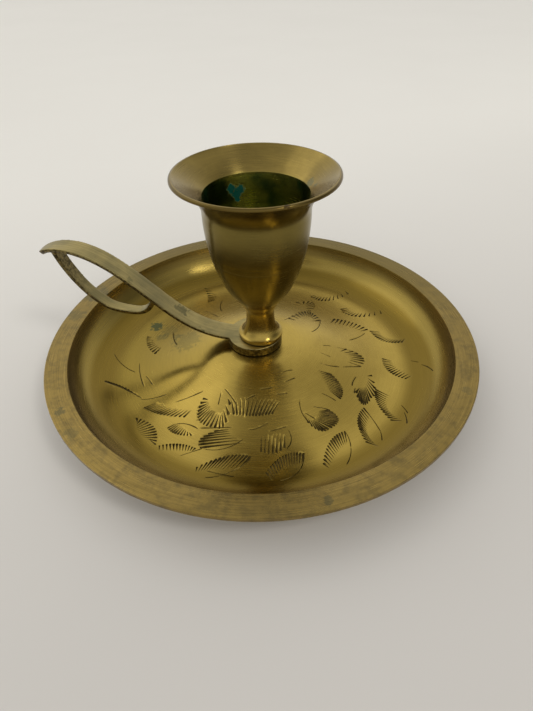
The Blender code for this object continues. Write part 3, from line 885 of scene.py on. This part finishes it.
# %% Brass of the cup
def cup_material():
    material, tree, shader = new_material("cup_brass")
    place, radius, height, bearing = round_the_axis(tree)
    lines = lathe_lines(tree, radius, height, bearing, 0.26 * MM, 3.0)
    cloud = noise(tree, place, 80.0, 4.0, 0.6)
    ring = cup_low.z + RING_HEIGHT
    throat = cup_high.z - FLARE_DEPTH
    colour = blend(tree, ramp(tree, cloud, 0.35, 0.7), *CUP_OLIVE)
    above_ring = ramp(tree, height, ring - MM, ring + 6.0 * MM)
    normal = node(tree, "TexCoord").outputs["Normal"]
    outwards = node(tree, "VectorMath", {0: normal, 1: bearing}, operation="DOT_PRODUCT").outputs["Value"]
    outside = ramp(tree, outwards, 0.05, 0.25)
    on_bowl = maths(tree, "MULTIPLY", above_ring, outside)
    colour = blend(tree, on_bowl, colour, blend(tree, cloud, *BOWL_OLIVE))
    on_neck = ramp(tree, height, ring, ring + 2.0 * MM, 1.0, 0.0)
    colour = blend(tree, on_neck, colour, NECK_GOLD)
    neck_of_flare = ramp(tree, height, cup_high.z - 7.0 * MM, cup_high.z - 3.0 * MM)
    under_lip = maths(tree, "MULTIPLY", neck_of_flare, outside)
    colour = blend(tree, maths(tree, "MULTIPLY", under_lip, 0.75), colour, UNDER_LIP)
    inwards = ramp(tree, outwards, -0.30, -0.60)
    below_throat = ramp(tree, height, throat - 0.6 * MM, throat + 0.3 * MM, 1.0, 0.0)
    in_socket = maths(tree, "MULTIPLY", inwards, below_throat)
    stain = blend(tree, ramp(tree, cloud, 0.42, 0.62), *SOCKET_STAIN)
    colour = blend(tree, maths(tree, "MULTIPLY", in_socket, 0.85), colour, stain)
    shade = maths(tree, "MULTIPLY_ADD", maths(tree, "SUBTRACT", lines, 0.5), 0.45, 1.0)
    colour = shaded(tree, colour, shade)
    for centre, _, length in NICKS:
        colour = blend(tree, mark(tree, place, centre, 0.45 * length), colour, NICK_DARK)
    crust = 0.0
    for centre, size, share in VERDIGRIS:
        patch = maths(tree, "MULTIPLY", mark(tree, place, centre, size, 0.2, 1400.0), share)
        crust = maths(tree, "MAXIMUM", crust, patch)
    crust = maths(tree, "MULTIPLY", crust, ramp(tree, outwards, 0.0, -0.1))
    green = blend(tree, noise(tree, place, 1800.0), *CRUST_GREEN)
    colour = blend(tree, crust, colour, green)
    tree.links.new(maths(tree, "SUBTRACT", 1.0, crust), shader.inputs["Metallic"])
    finish_brass(tree, shader, colour, lines, cloud, 0.24, 0.004 * MM)
    return material


wear(cup, cup_material())
print("the cup wears", cup.data.materials[0].name)

# %% Knock it
NICK_WIDE_END = 0.5 * MM
NICK_THIN_END = 0.3 * MM
NICK_TILT = math.radians(82.0)


def nicks():
    """Two small dents: one in the lip at the front, one inside the flare on the right."""
    bm = bmesh.new()
    for centre, turn, length in NICKS:
        made = bmesh.ops.create_cone(bm, cap_ends=True, segments=5, radius1=NICK_WIDE_END,
                                     radius2=NICK_THIN_END, depth=length * MM)["verts"]
        lie_down = Quaternion((0.0, 1.0, 0.0), NICK_TILT)
        swing = Quaternion((0.0, 0.0, 1.0), turn)
        for vert in made:
            vert.co = swing @ (lie_down @ vert.co) + Vector(centre) * MM
    return as_object("nicks", bm)


dents = nicks()
boolean(cup, dents)
settle(cup)
bpy.data.objects.remove(dents)
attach(cup, "root")
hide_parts("candle_cup")

# %% [markdown]
# ## The finger handle
#
# Eye, strap and loop are one sand casting. A casting has no sharp inside corners, so the three
# forms are joined and then rebuilt by a voxel Remesh and eased, which leaves the small fillets
# that molten metal leaves in a mould. The strap's upper face was filed flat afterwards.

# %% Handle forms
def sweep(name, spine, widths, thickness):
    """A bar along a spine of (x, z) points: flat on top, with eased lower edges."""
    bm = bmesh.new()
    rings = []
    for i, (x, z) in enumerate(spine):
        ahead = spine[min(i + 1, len(spine) - 1)]
        behind = spine[max(i - 1, 0)]
        along = Vector((ahead[0] - behind[0], ahead[1] - behind[1])).normalized()
        down = Vector((along.y, -along.x))
        half = 0.5 * widths[i]
        section = ((-half, 0.0), (-half, 0.62), (-0.72 * half, 1.0),
                   (0.72 * half, 1.0), (half, 0.62), (half, 0.0))
        rings.append([bm.verts.new((x + down.x * d * thickness, y, z + down.y * d * thickness))
                      for y, d in section])
    for first, second in zip(rings, rings[1:]):
        for a in range(len(first)):
            b = (a + 1) % len(first)
            bm.faces.new((first[a], first[b], second[b], second[a]))
    bm.faces.new(rings[0][::-1])
    bm.faces.new(rings[-1])
    bmesh.ops.recalc_face_normals(bm, faces=bm.faces)
    return as_object(name, bm)


print("bars can be swept")

# %% The strap
STRAP_THICKNESS = 1.3 * MM
STRAP_WIDTH = 6.1 * MM
TIP_WIDTH = 1.2 * MM
TAPER_RUN = 14.9 * MM
STRAP_ROOT = 6.0 * MM
RAMP_RUN = 24.0 * MM
RAMP_RISE = 13.0 * MM
RAMP_ANGLE = math.radians(43.0)
CREST_RUN = 20.5 * MM
CREST_RISE = 11.7 * MM
TIP_RUN = 6.2 * MM
TIP_DROP = 1.9 * MM
EYE_THICKNESS = 2.5 * MM
EYE_RADIUS = 7.3 * MM
EYE_OFFSET = 1.6 * MM
eye_bottom = handle_low.z
eye_top = eye_bottom + EYE_THICKNESS


def strap_spine():
    """The strap's upper face from eye to tip, as (distance from the axis, height)."""
    root = (STRAP_ROOT, eye_top)
    middle = (root[0] + RAMP_RUN, root[1] + RAMP_RISE)
    crest = (middle[0] + CREST_RUN, middle[1] + CREST_RISE)
    tip = (crest[0] + TIP_RUN, crest[1] - TIP_DROP)
    along = (math.cos(RAMP_ANGLE), math.sin(RAMP_ANGLE))
    before = 0.31 * RAMP_RUN
    after = 0.32 * CREST_RUN
    spine = bezier(root, (root[0] + 0.50 * RAMP_RUN, root[1]),
                   (middle[0] - before * along[0], middle[1] - before * along[1]), middle, 40)
    spine += bezier(middle, (middle[0] + after * along[0], middle[1] + after * along[1]),
                    (crest[0] - 0.42 * CREST_RUN, crest[1]), crest, 36)[1:]
    spine += bezier(crest, (crest[0] + 0.42 * TIP_RUN, crest[1]),
                    (tip[0] - 0.23 * TIP_RUN, tip[1] + 0.65 * TIP_DROP), tip, 16)[1:]
    return spine


def strap_width(distance, reach):
    """Full width along most of the strap, then rounding in to the tip."""
    past = max(0.0, distance - (reach - TAPER_RUN)) / TAPER_RUN
    return TIP_WIDTH + (STRAP_WIDTH - TIP_WIDTH) * math.sqrt(max(0.0, 1.0 - past ** 2))


spine = strap_spine()
reach = spine[-1][0]
strap = sweep("finger_handle", [(-s, z) for s, z in spine],
              [strap_width(s, reach) for s, z in spine], -STRAP_THICKNESS)
print("strap reaches %.1f mm, the handle's box says %.1f" % (reach / MM, -handle_low.x / MM))

# %% The finger loop
LOOP_THICKNESS = 1.3 * MM
LOOP_TOP_WIDTH = 4.2 * MM
LOOP_END_WIDTH = 2.5 * MM
LOOP_DROP = 5.2 * MM
LOOP_BOTTOM_RUN = 5.0 * MM
LOOP_ELBOW_RUN = 8.8 * MM
LOOP_ELBOW_RISE = 2.6 * MM


def strap_height(distance):
    """Height of the strap's upper face at a distance from the axis."""
    for (s0, z0), (s1, z1) in zip(spine, spine[1:]):
        if s0 <= distance <= s1:
            return z0 + (z1 - z0) * (distance - s0) / (s1 - s0)
    return eye_top


def loop_spine():
    """From the underside of the strap near its tip, down and back to its middle."""
    start_s = STRAP_ROOT + RAMP_RUN + CREST_RUN + 0.20 * TIP_RUN
    start = (start_s, strap_height(start_s) - 0.5 * STRAP_THICKNESS)
    end_s = STRAP_ROOT + RAMP_RUN - 1.0 * MM
    end = (end_s, strap_height(end_s) - 0.7 * STRAP_THICKNESS)
    bottom = (end[0] + LOOP_BOTTOM_RUN, end[1] - LOOP_DROP)
    elbow = (bottom[0] + LOOP_ELBOW_RUN, bottom[1] + LOOP_ELBOW_RISE)
    steep = start[1] - elbow[1]
    path = bezier(start, (start[0] - 0.07 * steep, start[1] - 0.34 * steep),
                  (elbow[0] + 0.28 * steep, elbow[1] + 0.21 * steep), elbow, 24)
    path += bezier(elbow, (elbow[0] - 1.6 * MM, elbow[1] - 1.7 * MM),
                   (bottom[0] + 0.45 * LOOP_ELBOW_RUN, bottom[1]), bottom, 18)[1:]
    path += bezier(bottom, (bottom[0] - 0.55 * LOOP_BOTTOM_RUN, bottom[1]),
                   (end[0] + 0.12 * LOOP_BOTTOM_RUN, end[1] - 0.60 * LOOP_DROP), end, 16)[1:]
    return path


def loop_form():
    """The thin strip of the finger loop, narrower towards its end."""
    path = loop_spine()
    last = len(path) - 1
    widths = [LOOP_TOP_WIDTH + (LOOP_END_WIDTH - LOOP_TOP_WIDTH) * i / last
              for i in range(last + 1)]
    return sweep("loop_form", [(-s, z) for s, z in path], widths, LOOP_THICKNESS)


loop = loop_form()
print("the loop's strip is %.1f mm wide at its top" % (LOOP_TOP_WIDTH / MM))

# %% Eye and casting
CASTING_GRAIN = 0.19 * MM


def round_bar(name, radius, bottom, top, centre_x, steps=96):
    """An upright round bar between two heights."""
    bm = bmesh.new()
    bmesh.ops.create_cone(bm, cap_ends=True, segments=steps, radius1=radius,
                          radius2=radius, depth=top - bottom)
    bmesh.ops.translate(bm, verts=bm.verts, vec=(centre_x, 0.0, (top + bottom) / 2.0))
    return as_object(name, bm)


def cast_handle():
    """Join strap, loop and eye, then rebuild them as one casting."""
    eye = round_bar("eye_form", EYE_RADIUS, eye_bottom, eye_top, -EYE_OFFSET)
    hole = round_bar("eye_hole", SCREW_HOLE, eye_bottom - MM, eye_top + MM, 0.0, 64)
    boolean(strap, loop, "UNION")
    boolean(strap, eye, "UNION")
    boolean(strap, hole)
    voxels = strap.modifiers.new("casting", "REMESH")
    voxels.mode = "VOXEL"
    voxels.voxel_size = CASTING_GRAIN
    easing = strap.modifiers.new("easing", "SMOOTH")
    easing.factor = 0.5
    easing.iterations = 1
    settle(strap, sharp=60.0)
    for form in (loop, eye, hole):
        bpy.data.objects.remove(form)


cast_handle()

# %% [markdown]
# ## Finish of the handle
#
# The casting is duller and greyer than the turned pieces. Its sides keep the sandy skin of the mould, and
# they are also darkened with painted shade, so the faces that look up are the lighter ones. Its upper face
# shows the long scratches of a file, so the noise there is stretched along the handle instead of round an
# axis.

# %% Stains and colours of the handle
HANDLE_MARKS = [
    # centre in mm, radius in mm, strength
    ((-21.0, 1.0, 17.0), 2.2, 0.55),
    ((-33.0, -1.5, 27.0), 1.2, 0.35),
    ((-15.0, -2.6, 14.0), 1.6, 0.60),
]
FILED_BRASS = ((0.36, 0.29, 0.115), (0.23, 0.195, 0.085))
# the dark skin colour also serves as painted shade on the sides and the loop
SANDY_SKIN_IN_PAINTED_SHADE = ((0.055, 0.043, 0.018), (0.20, 0.155, 0.06))
HANDLE_STAIN = (0.030, 0.042, 0.020)
FILE_SCRATCHES = (90.0, 2600.0, 90.0)
print(len(HANDLE_MARKS), "stains on the handle")

# %% Brass of the handle
def handle_material():
    material, tree, shader = new_material("handle_brass")
    place = node(tree, "TexCoord").outputs["Object"]
    squeezed = node(tree, "VectorMath", {0: place, 1: FILE_SCRATCHES}, operation="MULTIPLY")
    filed = noise(tree, squeezed.outputs[0], 1.0, 3.0, 0.6)
    skin = noise(tree, place, 1300.0, 4.0, 0.65)
    cloud = noise(tree, place, 120.0, 4.0, 0.6)
    facing = node(tree, "SeparateXYZ", {0: node(tree, "TexCoord").outputs["Normal"]}).outputs["Z"]
    # faces that look up get the lighter filed brass; the sides get the dark sandy skin, which is also
    # painted shade
    filed_and_lit_top = ramp(tree, facing, 0.35, 0.70)
    top = blend(tree, ramp(tree, cloud, 0.35, 0.7), *FILED_BRASS)
    cast_skin_in_painted_shade = blend(tree, ramp(tree, skin, 0.35, 0.65), *SANDY_SKIN_IN_PAINTED_SHADE)
    colour = blend(tree, filed_and_lit_top, cast_skin_in_painted_shade, top)
    colour = stained(tree, place, colour, HANDLE_MARKS, HANDLE_STAIN)
    grain = blend(tree, filed_and_lit_top, skin, filed)
    colour = shaded(tree, colour, ramp(tree, grain, 0.3, 0.7, 0.80, 1.12))
    finish_brass(tree, shader, colour, grain, cloud, 0.38, 0.015 * MM, turned=False)
    return material


wear(strap, handle_material())
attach(strap, "root")
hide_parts("handle")

# %% [markdown]
# ## Screw and washer
#
# Seen only from below, in the hollow of the tray: a slotted brass screw with a domed head
# pulls cup, handle and tray together through a plain washer. Both are turned from their
# outlines, and the slot is cut by one bar.

# %% Outline of the clamp screw
SCREW_RADIUS = 2.0 * MM
HEAD_HEIGHT = 2.2 * MM
SLOT_WIDTH = 1.0 * MM
SLOT_DEPTH = 1.1 * MM
THREAD_PITCH = 0.7 * MM
THREAD_DEPTH = 0.3 * MM
PLAIN_SHANK = 7.0 * MM
head_radius = screw_high.x
washer_radius = washer_high.x


def screw_outline():
    """From the top of the thread down to the middle of the head's underside."""
    head_bottom = screw_low.z
    head_top = head_bottom + HEAD_HEIGHT
    end = screw_high.z
    chamfer = 0.35 * SCREW_RADIUS
    outline = [(0.0, end), (SCREW_RADIUS - chamfer, end), (SCREW_RADIUS, end - chamfer)]
    height = end - 2.0 * chamfer
    while height > head_top + PLAIN_SHANK:
        outline += [(SCREW_RADIUS - THREAD_DEPTH, height), (SCREW_RADIUS, height - THREAD_PITCH / 2.0)]
        height -= THREAD_PITCH
    dome = bezier((head_radius, head_top - 0.45 * HEAD_HEIGHT),
                  (head_radius, head_bottom + 0.25 * HEAD_HEIGHT),
                  (0.80 * head_radius, head_bottom), (0.50 * head_radius, head_bottom), 14)
    return outline + [(SCREW_RADIUS, head_top), (head_radius, head_top)] + dome + [(0.0, head_bottom)]


screw = turned("slotted_screw", screw_outline(), 96)
print("screw is %.1f mm long" % ((screw_high.z - screw_low.z) / MM))

# %% Slot and brass of the screw
FASTENER_BRASS = ((0.55, 0.43, 0.20), (0.33, 0.26, 0.13))


def slot_cutter():
    """A bar across the head, as deep as the slot."""
    bm = bmesh.new()
    bmesh.ops.create_cube(bm, size=1.0)
    bmesh.ops.scale(bm, verts=bm.verts, vec=(3.0 * head_radius, SLOT_WIDTH, 2.0 * SLOT_DEPTH))
    bmesh.ops.translate(bm, verts=bm.verts, vec=(0.0, 0.0, screw_low.z))
    return as_object("slot_cutter", bm)


def fastener_material():
    material, tree, shader = new_material("fastener_brass")
    place, radius, height, bearing = round_the_axis(tree)
    lines = lathe_lines(tree, radius, height, bearing, 0.25 * MM, 2.0)
    cloud = noise(tree, place, 300.0, 4.0, 0.6)
    colour = blend(tree, ramp(tree, cloud, 0.35, 0.7), *FASTENER_BRASS)
    finish_brass(tree, shader, colour, lines, cloud, 0.36, 0.006 * MM)
    return material


brass_of_fasteners = fastener_material()
bar = slot_cutter()
boolean(screw, bar)
wear(screw, brass_of_fasteners)
settle(screw)
bpy.data.objects.remove(bar)

# %% Washer
WASHER_EASE = 0.12 * MM
washer = turned("plain_washer", [
    (SCREW_HOLE, washer_low.z), (SCREW_HOLE, washer_high.z),
    (washer_radius - WASHER_EASE, washer_high.z), (washer_radius, washer_high.z - WASHER_EASE),
    (washer_radius, washer_low.z + WASHER_EASE), (washer_radius - WASHER_EASE, washer_low.z)],
    96, closed=True)
wear(washer, brass_of_fasteners)
settle(washer)
for piece, part in ((screw, "clamp_screw"), (washer, "washer")):
    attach(piece, "root")
    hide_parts(part)

# %% [markdown]
# ## Check the size and finish
#
# The fine model must fill the same box as the measured one, so the sizes of both boxes are printed one after
# the other before the scene is closed.

# %% Print the sizes
visual_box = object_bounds()
boxes = {"cad": [list(corner) for corner in cad_box],
         "visual": [list(corner) for corner in visual_box]}
for name, (low, high) in boxes.items():
    print(name, [round((b - a) / MM, 2) for a, b in zip(low, high)], "mm")
